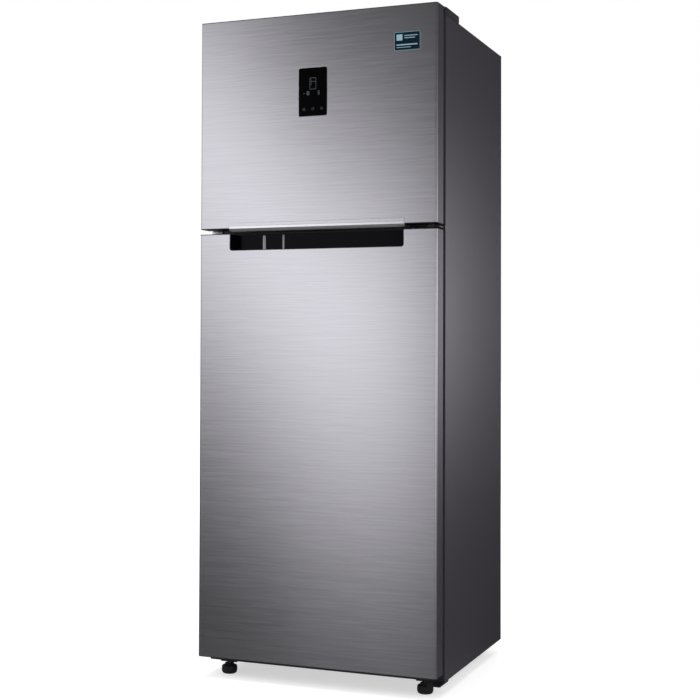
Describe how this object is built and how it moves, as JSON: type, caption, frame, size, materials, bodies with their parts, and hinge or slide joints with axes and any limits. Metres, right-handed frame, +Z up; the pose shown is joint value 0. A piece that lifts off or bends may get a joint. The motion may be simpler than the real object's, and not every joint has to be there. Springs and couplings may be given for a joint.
{
  "type": "top freezer refrigerator",
  "caption": "Free-standing two-door refrigerator, freezer above, with brushed steel doors, pocket handle, display panel, foamed cabinet, shelves, bins and machine room.",
  "frame": {"origin": "on the floor under the middle of the body's bounding box, feet and rollers touching the floor", "axes": "+Z up, the doors face -Y, +X to the right of someone facing the doors, hinges on +X"},
  "size_m": [0.675, 0.668, 1.801],
  "materials": {
    "steel_front": "satin",
    "grey_paint": "satin",
    "back_sheet": "satin",
    "base_steel": "satin",
    "foam": "matte",
    "white_liner": "gloss",
    "plug_grey": "satin",
    "black_steel": "satin",
    "rubber": "matte",
    "coil_steel": "satin",
    "dark_plastic": "satin",
    "gloss_black": "gloss",
    "pale_plastic": "satin",
    "copper": "satin",
    "circuit_green": "satin",
    "zinc_screw": "polished",
    "shelf_glass": "gloss",
    "clear_bin": "gloss",
    "slider_blue": "gloss",
    "gasket_grey": "matte",
    "black_glass": "gloss",
    "bright_trim": "polished"
  },
  "bodies": {
    "cabinet": {"cabinet_shell": "grey_paint", "rear_panel": "back_sheet", "cabinet_foam": "foam", "freezer_liner": "white_liner", "fridge_liner": "white_liner", "centre_rail": "back_sheet", "rail_plug": "plug_grey", "base_plate": "base_steel", "machine_tray": "base_steel", "compressor": "black_steel", "compressor_mounts": "rubber", "condenser_coil": "coil_steel", "condenser_fan_bracket": "dark_plastic", "drain_pan": "pale_plastic", "refrigerant_pipes": "copper", "machine_cover": "dark_plastic", "control_board": "circuit_green", "control_board_cover": "back_sheet", "top_hinge": "base_steel", "top_hinge_cover": "dark_plastic", "centre_hinge": "black_steel", "bottom_hinge": "black_steel", "hinge_screws": "zinc_screw", "leg_brackets": "black_steel", "roller_brackets": "base_steel", "freezer_duct_cover": "white_liner", "freezer_evaporator": "coil_steel", "freezer_shelf": "shelf_glass", "ice_maker_frame": "clear_bin", "fridge_duct_cover": "white_liner", "fridge_shelves": "shelf_glass", "crisper_cover": "shelf_glass"},
    "freezer_door": {"freezer_door_skin": "steel_front", "freezer_door_sides": "grey_paint", "freezer_door_caps": "dark_plastic", "freezer_door_foam": "foam", "freezer_door_liner": "white_liner", "freezer_door_gasket": "gasket_grey", "freezer_door_bins": "clear_bin", "freezer_door_bushes": "pale_plastic", "display_glass": "black_glass", "handle_trim": "bright_trim"},
    "fridge_door": {"fridge_door_skin": "steel_front", "fridge_door_sides": "grey_paint", "fridge_door_caps": "gloss_black", "fridge_door_foam": "foam", "fridge_door_liner": "white_liner", "fridge_door_gasket": "gasket_grey", "fridge_door_bins": "clear_bin", "fridge_door_bushes": "pale_plastic"},
    "dairy_lid": {"dairy_lid": "clear_bin"},
    "leg_left": {"leg_left": "dark_plastic"},
    "leg_right": {"leg_right": "dark_plastic"},
    "roller_left": {"roller_left": "pale_plastic"},
    "roller_right": {"roller_right": "pale_plastic"},
    "condenser_fan": {"condenser_fan": "dark_plastic"},
    "freezer_fan": {"freezer_fan": "dark_plastic"},
    "ice_tray": {"ice_tray": "clear_bin"},
    "crisper_drawer": {"crisper_drawer": "clear_bin"},
    "humidity_slider": {"humidity_slider": "slider_blue"}
  },
  "joints": [
    {"name": "freezer_door_hinge", "type": "hinge", "parent": "cabinet", "child": "freezer_door", "pos_m": [0.3115, -0.298, 1.50965], "axis": [0, 0, 1], "range_deg": [0, 115]},
    {"name": "fridge_door_hinge", "type": "hinge", "parent": "cabinet", "child": "fridge_door", "pos_m": [0.3115, -0.298, 0.6347], "axis": [0, 0, 1], "range_deg": [0, 115]},
    {"name": "dairy_lid_hinge", "type": "hinge", "parent": "fridge_door", "child": "dairy_lid", "pos_m": [0, -0.264, 1.0404], "axis": [1, 0, 0], "range_deg": [0, 70]},
    {"name": "leg_left_height", "type": "slide", "parent": "cabinet", "child": "leg_left", "axis": [0, 0, 1], "range_m": [-0.02, 0.003]},
    {"name": "leg_right_height", "type": "slide", "parent": "cabinet", "child": "leg_right", "axis": [0, 0, 1], "range_m": [-0.02, 0.003]},
    {"name": "roller_left_spin", "type": "hinge", "parent": "cabinet", "child": "roller_left", "pos_m": [-0.2775, 0.288, 0.015], "axis": [1, 0, 0], "continuous": true},
    {"name": "roller_right_spin", "type": "hinge", "parent": "cabinet", "child": "roller_right", "pos_m": [0.2775, 0.288, 0.015], "axis": [1, 0, 0], "continuous": true},
    {"name": "condenser_fan_spin", "type": "hinge", "parent": "cabinet", "child": "condenser_fan", "pos_m": [-0.055, 0.238, 0.14], "axis": [1, 0, 0], "continuous": true},
    {"name": "freezer_fan_spin", "type": "hinge", "parent": "cabinet", "child": "freezer_fan", "pos_m": [0, 0.22, 1.6513], "axis": [0, 1, 0], "continuous": true},
    {"name": "ice_tray_twist", "type": "hinge", "parent": "cabinet", "child": "ice_tray", "pos_m": [-0.2095, 0, 1.6653], "axis": [0, 1, 0], "range_deg": [0, 150], "stiffness_Nm_per_rad": 0.1},
    {"name": "crisper_drawer_slide", "type": "slide", "parent": "cabinet", "child": "crisper_drawer", "axis": [0, -1, 0], "range_m": [0, 0.1]},
    {"name": "humidity_slide", "type": "slide", "parent": "cabinet", "child": "humidity_slider", "axis": [1, 0, 0], "range_m": [-0.05, 0.05]}
  ]
}
